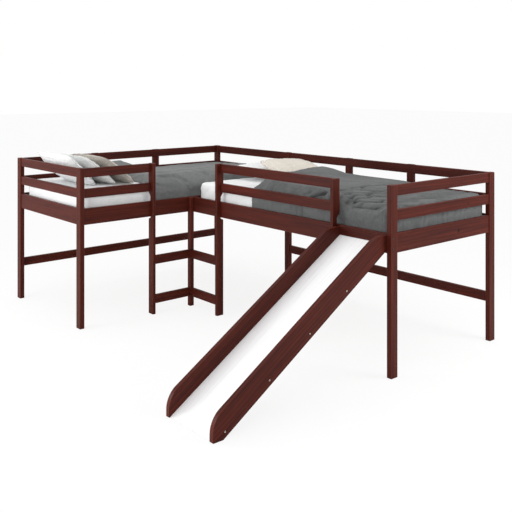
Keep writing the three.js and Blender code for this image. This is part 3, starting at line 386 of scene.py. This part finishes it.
# Mattresses
# Two twin foam mattresses in white cotton fitted sheets. The foam keeps the block square, and the sheet
# is pulled over it: slack gathers in slanting folds on the sides and in small puckers at the corners.
def cotton(name, light, shade, thread, sheen=0.25, crumple=0.5):
    """Woven cotton: a plain weave of warp and weft, thread metres apart and drawn coarser than life so
    that it shows, with slubs, a slight unevenness of dye or bleach, and fine creases from washing."""
    cloth = finish_named(name)
    place = add(cloth, "ShaderNodeTexCoord").outputs["Object"]
    parts = add(cloth, "ShaderNodeSeparateXYZ", {0: place}).outputs
    weave = None
    for axis in range(3):
        turned = add(
            cloth, "ShaderNodeMath", {0: parts[axis], 1: 2 * math.pi / thread}, operation="MULTIPLY"
        ).outputs[0]
        wave = add(cloth, "ShaderNodeMath", {0: turned}, operation="SINE").outputs[0]
        weave = wave if weave is None else add(
            cloth, "ShaderNodeMath", {0: weave, 1: wave}, operation="ADD"
        ).outputs[0]
    slub = add(cloth, "ShaderNodeTexNoise", {"Vector": place, "Scale": 45.0, "Detail": 5.0}).outputs["Fac"]
    cloud = add(cloth, "ShaderNodeTexNoise", {"Vector": place, "Scale": 5.0, "Detail": 2.0}).outputs["Fac"]
    tone = add(cloth, "ShaderNodeMath", {0: slub, 1: cloud}, operation="ADD").outputs[0]
    tone = add(cloth, "ShaderNodeMapRange", {0: tone, 1: 0.75, 2: 1.25}).outputs[0]
    base = add(
        cloth, "ShaderNodeMix", {0: tone, 6: colour(shade), 7: colour(light)}, data_type="RGBA"
    ).outputs[2]
    # The duvets' meshes hold how deep each point is creased. There the colour is darkened towards #303131
    # as painted shade in the creases.
    painted_crease_shade = add(cloth, "ShaderNodeAttribute", attribute_name="creased").outputs["Fac"]
    painted_crease_shade = add(cloth, "ShaderNodeMath", {0: painted_crease_shade, 1: 0.75}, operation="MULTIPLY").outputs[0]
    base = add(
        cloth, "ShaderNodeMix", {0: painted_crease_shade, 6: base, 7: colour("#303131")}, data_type="RGBA"
    ).outputs[2]
    # Creases 30 to 60 mm apart, sharp at their lines
    crushed = add(
        cloth, "ShaderNodeTexNoise",
        {"Vector": place, "Scale": 16.0, "Detail": 3.0, "Roughness": 0.55, "Distortion": 0.8},
    ).outputs["Fac"]
    ridge = add(cloth, "ShaderNodeMath", {0: crushed, 1: 0.5}, operation="SUBTRACT").outputs[0]
    ridge = add(cloth, "ShaderNodeMath", {0: ridge}, operation="ABSOLUTE").outputs[0]
    crinkled = add(
        cloth, "ShaderNodeBump", {"Strength": crumple, "Distance": 0.012, "Height": ridge}
    ).outputs[0]
    woven = add(
        cloth, "ShaderNodeBump",
        {"Strength": 0.25, "Distance": 0.0004, "Height": weave, "Normal": crinkled},
    ).outputs[0]
    surface = add(
        cloth, "ShaderNodeBsdfPrincipled",
        {"Base Color": base, "Roughness": 0.88, "IOR": 1.45, "Normal": woven,
         "Sheen Weight": sheen, "Sheen Roughness": 0.45},
    )
    add(cloth, "ShaderNodeOutputMaterial", {"Surface": surface.outputs[0]})
    return cloth


def made_up(node, name, voxel):
    """A new piece with a CAD solid's form, in even squares of voxel metres."""
    piece = bpy.data.objects.new(name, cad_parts[node].data.copy())
    scene.collection.objects.link(piece)
    squares = piece.modifiers.new("squares", "REMESH")
    squares.mode = "VOXEL"
    squares.voxel_size = voxel
    settle(piece)
    return piece


def settle(piece):
    """Applies the modifiers and shades the mesh smoothly."""
    bpy.context.view_layer.update()
    evaluated = piece.evaluated_get(bpy.context.evaluated_depsgraph_get())
    shaped = bpy.data.meshes.new_from_object(evaluated)
    piece.modifiers.clear()
    piece.data = shaped
    for face in shaped.polygons:
        face.use_smooth = True


def points_of(piece):
    mesh = piece.data
    points = np.zeros(len(mesh.vertices) * 3)
    normals = np.zeros(len(mesh.vertices) * 3)
    mesh.vertices.foreach_get("co", points)
    mesh.vertex_normals.foreach_get("vector", normals)
    return points.reshape(-1, 3), normals.reshape(-1, 3)


def move_to(piece, points):
    piece.data.vertices.foreach_set("co", np.asarray(points, float).ravel())
    piece.data.update()


def smoothed(low, high, values):
    share = np.clip((values - low) / (high - low), 0, 1)
    return share * share * (3 - 2 * share)


def folds(points, run, across, length, spacing, seed, sharp=0.35):
    """Valleys between soft bulges, 0 on a bulge and 1 in a valley: lines drawn out along run, about
    length metres long, and spaced along across."""
    u = points @ np.array(Vector(run).normalized())
    v = points @ np.array(Vector(across).normalized())
    field = np.array([
        noise.noise(Vector((a / length, b / spacing, seed)))
        + 0.35 * noise.noise(Vector((a / length * 2.3, b / spacing * 2.1, seed + 9)))
        for a, b in zip(u, v)
    ])
    return np.clip(1 - np.abs(field) / sharp, 0, 1) ** 1.5


white_cotton = cotton("white_cotton_sheeting", "#f3f4f4", "#ecedee", 0.0022, crumple=0.25)
for bed, run, inwards in [("corner_bed", (1, 0, 0), (0, 1, 0)), ("slide_bed", (0, 1, 0), (1, 0, 0))]:
    mattress = made_up(bed + "_mattress", bed + "_mattress_in_sheet", 0.012)
    points, normals = points_of(mattress)
    low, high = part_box(bed + "_mattress")
    height = (points[:, 2] - low.z) / (high.z - low.z)
    # The sides' folds slant down towards the foot, and fade out over the edges
    on_side = smoothed(0.0, 0.25, height) * smoothed(1.0, 0.7, height) * (np.abs(normals[:, 2]) < 0.6)
    slant = Vector(run) * 0.82 + Vector((0, 0, -0.57))
    square = Vector(run) * 0.57 + Vector((0, 0, 0.82))
    depth = 0.006 * on_side * folds(points, slant, square, 0.30, 0.075, 3.0)
    # On top it is nearly flat, with shallow waves
    on_top = smoothed(0.9, 1.0, height)
    depth += 0.003 * on_top * folds(points, run, inwards, 0.5, 0.16, 8.0)
    move_to(mattress, points - normals * depth[:, None])
    settle(mattress)
    mattress.data.materials.clear()
    mattress.data.materials.append(white_cotton)
    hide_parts(bed + "_mattress")
    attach(mattress, bed + "_bedding")


# Duvets
# Each bed has a plain mid-grey cotton duvet, filled and sewn shut, spread from the foot and tucked down
# between mattress and rails. The filling bulges between creases, which crowd together on the slide bed.
def creased(points, path, width):
    """1 along a path of points in metres, and 0 farther than about width from it."""
    nearest = np.full(len(points), 1e9)
    for start, end in zip(path, path[1:]):
        start, end = np.array(start, float), np.array(end, float)
        along = end - start
        share = np.clip(((points - start) @ along) / (along @ along), 0, 1)
        nearest = np.minimum(nearest, np.linalg.norm(points - start - share[:, None] * along, axis=1))
    return np.exp(-((nearest / width) ** 2))


FRAMES = 16
STIFFNESS = 12


def filled(piece, pressure, cap, held, growth=0.02):
    """Blows a closed cover up against its filling. Points with held above 0 stay, and no point moves
    more than cap metres."""
    before, _ = points_of(piece)
    group = piece.vertex_groups.new(name="held")
    for share in (0.25, 0.5, 0.75, 1.0):
        members = np.nonzero((held > share - 0.25) & (held <= share))[0]
        group.add([int(i) for i in members], share, "REPLACE")
    cover = piece.modifiers.new("cover", "CLOTH")
    cover.settings.quality = 5
    cover.settings.mass = 0.25
    cover.settings.tension_stiffness = STIFFNESS
    cover.settings.compression_stiffness = STIFFNESS
    cover.settings.shear_stiffness = STIFFNESS / 2
    cover.settings.bending_stiffness = 0.4
    cover.settings.shrink_min = -growth
    cover.settings.use_pressure = True
    cover.settings.uniform_pressure_force = pressure
    cover.settings.effector_weights.gravity = 0
    cover.settings.vertex_group_mass = "held"
    cover.point_cache.frame_start = 1
    cover.point_cache.frame_end = FRAMES
    for number in range(1, FRAMES + 1):
        scene.frame_set(number)
    settle(piece)
    scene.frame_set(1)
    after, _ = points_of(piece)
    move = after - before
    far = np.linalg.norm(move, axis=1)
    move *= np.minimum(1, cap / np.maximum(far, 1e-9))[:, None]
    move_to(piece, before + move)
    piece.vertex_groups.clear()


def inside(points, node, grow):
    """Whether each point lies in a node's box, grown by some metres."""
    low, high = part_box(node)
    return np.all((points > np.array(low) - grow) & (points < np.array(high) + grow), axis=1)


# The corner bed's cover is a lighter copy of the slide bed's grey cotton: painted light, which brightens
# its front
duvet_cotton = {
    "corner_bed": cotton("grey_cotton_cover_painted_lighter", "#797a7a", "#6d6f6f", 0.0026, sheen=0.05, crumple=0.25),
    "slide_bed": cotton("grey_cotton_cover", "#666767", "#5b5d5d", 0.0026, sheen=0.05, crumple=0.35),
}
DUVET_SQUARES = 0.008

# In metres: how far inside its made-up form each cover starts, how far the filling may blow it back out,
# and the crease depth that gets the darkest painted crease shade. Sharp creases come last, or the filling
# would blow them out.
SLACK = {"corner_bed": 0.010, "slide_bed": 0.003}
PUFF = 0.010
DEEP_CREASE = 0.024


def filled_duvet(bed, soft, sharp):
    """A cover with soft hollows from before the filling and sharp creases from after it. Both give a
    depth in metres for each point of the made-up form."""
    cover = made_up(bed + "_duvet", bed + "_duvet_cover", DUVET_SQUARES)
    points, normals = points_of(cover)
    inner = inside(points, bed + "_mattress", 0.004)
    crease = sharp(points) * ~inner
    move_to(cover, points - normals * ((SLACK[bed] + soft(points)) * ~inner)[:, None])
    filled(cover, 3.0, PUFF, np.maximum(inner * 1.0, smoothed(0.87, 0.83, points[:, 2])))
    points, normals = points_of(cover)
    move_to(cover, points - normals * crease[:, None])
    # The crease depth is stored for the cotton's painted shade in the creases
    depths = cover.data.attributes.new("creased", "FLOAT", "POINT")
    depths.data.foreach_set("value", np.clip(crease / DEEP_CREASE, 0, 1))
    return cover


# Corner bed: a smooth puffed front with one arched crease, and shallow ones along the top
arch = [(-0.141, 0.559, 1.012), (-0.068, 0.534, 1.014), (0.005, 0.519, 1.010), (0.043, 0.503, 0.998),
        (0.067, 0.489, 0.980), (0.081, 0.484, 0.959), (0.091, 0.484, 0.926), (0.098, 0.484, 0.863)]
top_crease = [(-0.081, 0.633, 1.02), (0.016, 0.597, 1.02), (0.121, 0.658, 1.03), (0.195, 0.671, 1.03),
              (0.234, 0.633, 1.026), (0.239, 0.561, 1.020), (0.305, 0.500, 0.996)]
back_crease = [(0.25, 0.80, 1.02), (0.303, 0.649, 1.027), (0.338, 0.545, 1.018)]


def corner_hollows(points):
    above = smoothed(0.93, 0.99, points[:, 2])
    depth = 0.006 * above * folds(points, (1, 0.35, 0), (-0.35, 1, 0), 0.45, 0.17, 21.0, 0.30)
    return depth + 0.004 * (1 - above) * folds(points, (0, 0, 1), (1, 1, 0), 0.5, 0.13, 5.0, 0.30)


def corner_creases(points):
    depth = 0.009 * creased(points, arch, 0.022)
    depth += 0.007 * creased(points, top_crease, 0.020)
    return depth + 0.007 * creased(points, back_crease, 0.014)


corner_duvet = filled_duvet("corner_bed", corner_hollows, corner_creases)

# Slide bed: a tall fold across the middle, dense wrinkles on the top beside the slide, upright creases
# in the drop behind the guard, and fine pleats over the foot. The deepest wrinkles run across the bed.
# Each wrinkle is the points that it runs through, and its depth.
wrinkles = [
    ([(0.30, -0.935, 1.014), (0.389, -0.933, 1.011), (0.460, -0.906, 1.011)], 0.018),
    ([(0.482, -0.936, 1.007), (0.559, -0.895, 1.008), (0.654, -0.912, 1.004), (0.779, -0.902, 1.0)], 0.024),
    ([(0.414, -1.004, 1.003), (0.499, -1.013, 0.998), (0.530, -1.056, 0.993), (0.604, -1.048, 0.990)], 0.020),
    ([(0.204, -1.048, 1.004), (0.313, -1.023, 1.003)], 0.014),
    ([(0.188, -1.121, 0.995), (0.274, -1.084, 0.997), (0.349, -1.111, 0.990), (0.451, -1.064, 0.993)], 0.028),
    ([(0.320, -1.152, 0.986), (0.374, -1.137, 0.986), (0.470, -1.180, 0.979)], 0.024),
    ([(0.153, -1.166, 0.985), (0.232, -1.151, 0.989), (0.288, -1.174, 0.984)], 0.016),
    ([(0.130, -1.117, 0.972), (0.177, -1.115, 0.99)], 0.012),
    ([(0.154, -1.187, 0.981), (0.209, -1.244, 0.978), (0.282, -1.273, 0.974), (0.359, -1.245, 0.975)], 0.020),
    ([(0.125, -1.185, 0.947), (0.129, -1.236, 0.962), (0.156, -1.356, 0.968), (0.230, -1.386, 0.971)], 0.014),
]
fold_creases = [
    ([(0.127, -0.829, 0.975), (0.131, -0.861, 0.991), (0.142, -0.892, 1.002), (0.155, -0.918, 1.012)], 0.030),
    ([(0.126, -0.867, 0.970), (0.130, -0.906, 0.985)], 0.010),
    ([(0.128, -0.761, 0.981), (0.131, -0.790, 0.992), (0.145, -0.804, 1.009)], 0.008),
]
# Each one's upper and lower end along the bed, and its depth, which the mattress behind it limits
upright_creases = [(-0.754, -0.747, 0.011), (-0.706, -0.692, 0.006), (-0.716, -0.728, 0.004)]


def slide_hollows(points):
    above = smoothed(0.93, 0.985, points[:, 2])
    towards_foot = smoothed(-0.80, -0.98, points[:, 1])
    waves = folds(points, (0.9, -0.4, 0), (0.4, 0.9, 0), 0.5, 0.20, 60.0, 0.28)
    sags = folds(points, (0, 0.1, 1), (0, 1, 0), 0.6, 0.14, 77.0, 0.30)
    return 0.008 * above * (1 - towards_foot) * waves + 0.004 * (1 - above) * sags


def slide_creases(points):
    above = smoothed(0.94, 0.98, points[:, 2])
    towards_foot = smoothed(-0.82, -0.96, points[:, 1])
    towards_slide = smoothed(1.0, 0.65, points[:, 0])
    crowded = folds(points, (0.97, -0.24, 0), (0.24, 0.97, 0), 0.20, 0.062, 40.0, 0.36)
    depth = 0.013 * above * towards_foot * (0.4 + 0.6 * towards_slide) * crowded
    for path, fall in wrinkles:
        depth += fall * creased(points, path, 0.009)
    for path, fall in fold_creases:
        depth += fall * creased(points, path, 0.009)
    for upper, lower, fall in upright_creases:
        depth += fall * creased(points, [(0.125, upper, 0.93), (0.125, lower, 0.82)], 0.008)
    at_foot = smoothed(-1.44, -1.47, points[:, 1])
    pleats = folds(points, (0, 0, 1), (1, 0, 0), 0.6, 0.050, 71.0, 0.5)
    return np.minimum(depth, 0.030) + 0.004 * (1 - above) * at_foot * pleats


slide_duvet = filled_duvet("slide_bed", slide_hollows, slide_creases)

for bed, duvet in [("corner_bed", corner_duvet), ("slide_bed", slide_duvet)]:
    # The rails stop the drop from bulging out of the place that the CAD solid has
    points, _ = points_of(duvet)
    low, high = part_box(bed + "_duvet")
    points[:, :2] = np.clip(points[:, :2], np.array(low)[:2], np.array(high)[:2])
    points[:, 2] = np.maximum(points[:, 2], low.z)
    move_to(duvet, points)
    settle(duvet)
    duvet.data.materials.clear()
    duvet.data.materials.append(duvet_cotton[bed])
    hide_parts(bed + "_duvet")
    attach(duvet, bed + "_bedding")


# Pillows
# Five filled pillows in cotton cases: three flat ones lean in a row at the corner bed's head, and two
# plump ones lie at the slide bed's head. Each is seamed all round, and its corners draw out to soft ears.
pillow_cotton = {
    "white": white_cotton,
    "pale": cotton("pale_grey_cotton_case", "#eaebe9", "#e2e4e2", 0.0022, crumple=0.3),
    "beige": cotton("beige_cotton_case", "#c0b9b0", "#b2aba1", 0.0022, crumple=0.3),
    "cream": cotton("cream_cotton_case", "#dfd8cd", "#d5cdc1", 0.0022, crumple=0.3),
}
for number, name in enumerate(sorted(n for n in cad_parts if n.endswith("_pillow"))):
    bed, shade = name[: name.index("_bed") + 4], name.split("_")[-2]
    solid = np.array([v.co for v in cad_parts[name].data.vertices])
    centre = solid.mean(0)
    # The seam lies in the pillow's middle plane, which its thinnest direction is square to
    _, axes = np.linalg.eigh(np.cov((solid - centre).T))
    thin, short, long = axes[:, 0], axes[:, 1], axes[:, 2]
    off_plane = (solid - centre) @ thin
    seam = solid[np.abs(off_plane - np.median(off_plane)) < 0.0012]
    seam = np.unique(np.round(seam, 5), axis=0)
    angle = np.arctan2((seam - centre) @ short, (seam - centre) @ long)
    seam = seam[np.argsort(angle)]

    pillow = made_up(name, name + "_in_case", 0.006)
    points, normals = points_of(pillow)
    to_seam = creased(points, [*seam, seam[0]], 0.012)
    turn = np.arctan2((points - centre) @ short, (points - centre) @ long)
    # Puckers run in from the seam, closest together at the corners
    pucker = np.array([
        noise.noise(Vector((math.cos(a) * 5, math.sin(a) * 5, number * 7.0))) for a in turn
    ])
    out = np.linalg.norm(points - centre, axis=1)
    near_edge = smoothed(0.16, 0.02, out.max() - out)
    depth = 0.003 * near_edge * np.clip(np.abs(pucker) * 3, 0, 1)
    run, across = short * 0.8 + long * 0.6, long * 0.8 - short * 0.6
    depth += 0.005 * folds(points, run, across, 0.22, 0.11, 11.0 + number, 0.3)
    move_to(pillow, points - normals * (depth * (1 - to_seam))[:, None])
    filled(pillow, 4.0, 0.008, to_seam, growth=0.03)
    settle(pillow)
    pillow.data.materials.clear()
    pillow.data.materials.append(pillow_cotton[shade])
    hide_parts(name)
    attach(pillow, bed + "_bedding")

    piping = bpy.data.curves.new(name + "_seam", "CURVE")
    piping.dimensions = "3D"
    piping.bevel_depth = 0.0018
    piping.bevel_resolution = 2
    line = piping.splines.new("POLY")
    line.points.add(len(seam) - 1)
    for point, at in zip(line.points, seam):
        point.co = (*at, 1)
    line.use_cyclic_u = True
    piping.materials.append(pillow_cotton[shade])
    welt = bpy.data.objects.new(name + "_seam", piping)
    scene.collection.objects.link(welt)
    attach(welt, bed + "_bedding")


# Floor, light and camera
# A plain white studio table, which the camera sees nearly burnt out so that shadows stay faint, and a
# white surround. A soft light stands overhead, large soft boxes at both ends and in front, and two narrow
# lights reach the leaning pillows and the inner corner.
paper = finish_named("white_table")
place = add(paper, "ShaderNodeTexCoord").outputs["Object"]
cloudy = add(paper, "ShaderNodeTexNoise", {"Vector": place, "Scale": 3.0, "Detail": 2.0}).outputs["Fac"]
white = add(
    paper, "ShaderNodeMix", {0: cloudy, 6: colour("#dcdcdc"), 7: colour("#e2e2e2")}, data_type="RGBA"
).outputs[2]
matt = add(paper, "ShaderNodeBsdfPrincipled", {"Base Color": white, "Roughness": 0.9}).outputs[0]
glare = add(paper, "ShaderNodeEmission", {"Color": (1, 1, 1, 1), "Strength": 1.03}).outputs[0]
seen = add(paper, "ShaderNodeLightPath").outputs["Is Camera Ray"]
burnt = add(paper, "ShaderNodeMapRange", {0: seen, 4: 0.82}).outputs[0]
surface = add(paper, "ShaderNodeMixShader", {0: burnt, 1: matt, 2: glare})
add(paper, "ShaderNodeOutputMaterial", {"Surface": surface.outputs[0]})
mesh = bpy.data.meshes.new("studio_floor")
REACH = 40
corners = [(x * REACH, y * REACH, 0) for x, y in ((-1, -1), (1, -1), (1, 1), (-1, 1))]
mesh.from_pydata(corners, [], [(0, 1, 2, 3)])
mesh.materials.append(paper)
floor = bpy.data.objects.new("studio_floor", mesh)
scene.collection.objects.link(floor)

world = bpy.data.worlds.new("studio")
world.use_nodes = True
surround = world.node_tree.nodes["Background"]
surround.inputs["Color"].default_value = (1, 1, 1, 1)
# The studio's white walls stand at the left and behind, and its right front side is open and darker
walls = add(world, "ShaderNodeVectorMath", {1: (-0.7, 0.7, 0.1)}, operation="DOT_PRODUCT")
world.node_tree.links.new(add(world, "ShaderNodeTexCoord").outputs["Generated"], walls.inputs[0])
lit = add(
    world, "ShaderNodeMapRange", {0: walls.outputs["Value"], 1: -0.9, 2: 0.7, 3: 0.15, 4: 0.85}
).outputs[0]
seen = add(world, "ShaderNodeLightPath").outputs["Is Camera Ray"]
bright = add(world, "ShaderNodeMapRange", {0: seen, 3: lit, 4: 1.0}).outputs[0]
world.node_tree.links.new(bright, surround.inputs["Strength"])
scene.world = world
scene.view_settings.view_transform = "Standard"


def soft_box(name, at, towards, size, watts):
    lamp = bpy.data.lights.new(name, "AREA")
    lamp.shape = "RECTANGLE"
    lamp.size, lamp.size_y = size
    lamp.energy = watts
    box = bpy.data.objects.new(name, lamp)
    box.location = at
    box.rotation_euler = (Vector(towards) - Vector(at)).to_track_quat("-Z", "Y").to_euler()
    box.visible_camera = False
    scene.collection.objects.link(box)


soft_box("right_light", (1.5, -3.3, 1.9), (0.6, -1.5, 0.9), (1.4, 1.4), 50)
soft_box("left_light", (-2.8, 1.0, 1.2), (-0.7, 0.9, 0.85), (1.2, 1.2), 33)
soft_box("front_light", (-2.6, -3.0, 1.8), (0.0, 0.3, 0.8), (1.5, 1.5), 16)
def snoot(name, at, towards, degrees, watts):
    lamp = bpy.data.lights.new(name, "SPOT")
    lamp.energy = watts
    lamp.spot_size = math.radians(degrees)
    lamp.spot_blend = 0.8
    lamp.shadow_soft_size = 0.35
    spot = bpy.data.objects.new(name, lamp)
    spot.location = at
    spot.rotation_euler = (Vector(towards) - Vector(at)).to_track_quat("-Z", "Y").to_euler()
    spot.visible_camera = False
    scene.collection.objects.link(spot)


# A narrow light from the bed's foot opens up the faces of the leaning pillows, and one from the front
# reaches into the inner corner
snoot("pillow_light", (1.9, 1.0, 1.55), (-0.5, 0.9, 1.0), 26, 80)
snoot("corner_light", (-2.4, -3.4, 1.9), (0.05, 0.5, 0.75), 22, 130)
daylight = bpy.data.lights.new("overhead_light", "SUN")
daylight.energy = 1.15
daylight.angle = math.radians(70)
scene.collection.objects.link(bpy.data.objects.new("overhead_light", daylight))

lens = bpy.data.cameras.new("camera")
lens.lens = 53.29
lens.sensor_width = 36
lens.shift_y = -0.3313
camera = bpy.data.objects.new("camera", lens)
camera.location = (-3.32347, -4.34166, 1.68859)
camera.rotation_euler = (math.radians(90), 0, math.radians(-40.365))
scene.collection.objects.link(camera)
scene.camera = camera
